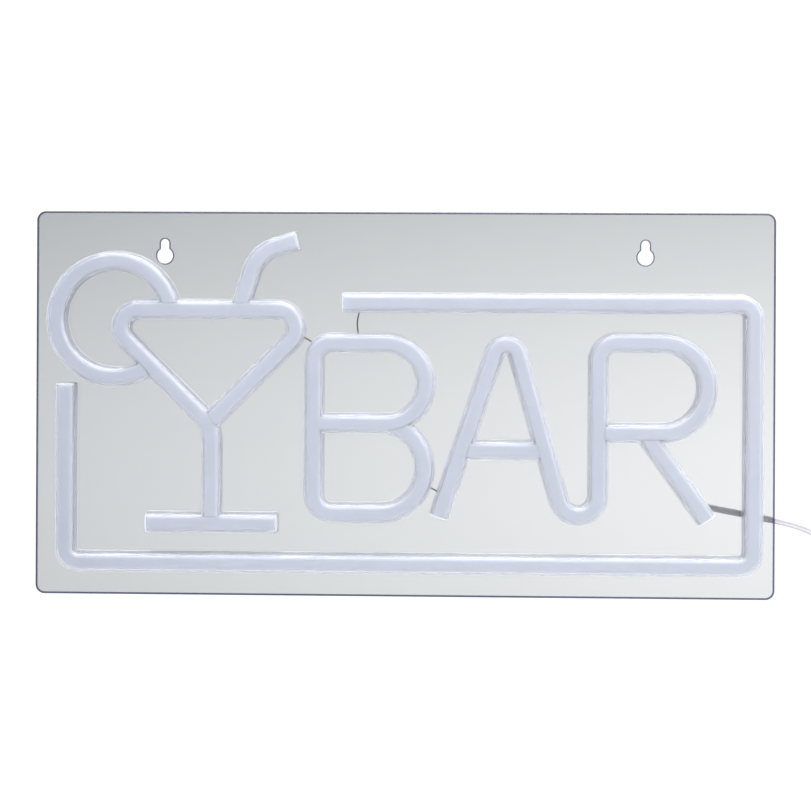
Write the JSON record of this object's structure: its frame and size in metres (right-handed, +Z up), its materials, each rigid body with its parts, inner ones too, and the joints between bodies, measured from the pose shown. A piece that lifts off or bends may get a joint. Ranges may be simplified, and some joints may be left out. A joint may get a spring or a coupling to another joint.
{
  "type": "neon advertising sign",
  "caption": "Wall-hung clear panel sign with raised milky light channels in the outlines of a cocktail glass and a short word, a frame tube, and a USB lead with an inline rocker switch",
  "frame": {"origin": "on the panel's back face, midway between the round openings of the two hanging keyholes", "axes": "X runs along the panel's width, to the right as seen from the front; the front faces -Y; Z is up"},
  "size_m": [0.4794, 0.0164, 0.3635],
  "materials": {
    "panel": "clear moulded plastic with a faint cool tint",
    "diffuser": "milky translucent silicone",
    "strip": "white flexible circuit",
    "led_chips": "phosphor lens",
    "strip_resistors": "black chip",
    "solder": "bright solder",
    "wire": "thin insulated wire",
    "lead_anchor": "clear glue block",
    "lead": "clear two-core cable over dull conductors",
    "coil_tie": "white tie",
    "white_shell": "white moulding",
    "switch_rocker": "white moulding",
    "steel": "plated steel",
    "contact": "plated contact",
    "plug_shell": "nickel plated sheet",
    "plug_tongue": "white moulding"
  },
  "bodies": {
    "sign": {"panel": "panel", "diffuser_frame": "diffuser", "diffuser_slice": "diffuser", "diffuser_glass": "diffuser", "diffuser_straw": "diffuser", "diffuser_foot": "diffuser", "diffuser_b": "diffuser", "diffuser_ar": "diffuser", "diffuser_a_bar": "diffuser", "diffuser_r_leg": "diffuser", "strip_frame": "strip", "strip_slice": "strip", "strip_glass": "strip", "strip_straw": "strip", "strip_foot": "strip", "strip_b": "strip", "strip_ar": "strip", "strip_a_bar": "strip", "strip_r_leg": "strip", "led_chips": "led_chips", "strip_resistors": "strip_resistors", "solder_bridges": "solder", "solder_joints": "solder", "wire_frame_b": "wire", "wire_glass_b": "wire", "wire_b_a": "wire", "lead_anchor": "lead_anchor", "lead": "lead", "lead_coil": "lead", "coil_tie": "coil_tie", "lead_tail": "lead", "lead_end": "lead", "switch_front_shell": "white_shell", "switch_rear_shell": "white_shell", "switch_pin": "steel", "switch_terminals": "contact", "switch_screws": "steel", "plug_body": "white_shell", "plug_shell": "plug_shell", "plug_tongue": "plug_tongue", "plug_contacts": "contact"},
    "rocker": {"switch_rocker": "switch_rocker"}
  },
  "joints": [
    {"name": "rocker_tilt", "type": "hinge", "parent": "sign", "child": "rocker", "pos_m": [0.2716, -0.0081, -0.254], "axis": [-1, 0, 0], "range_deg": [0, 12]}
  ]
}
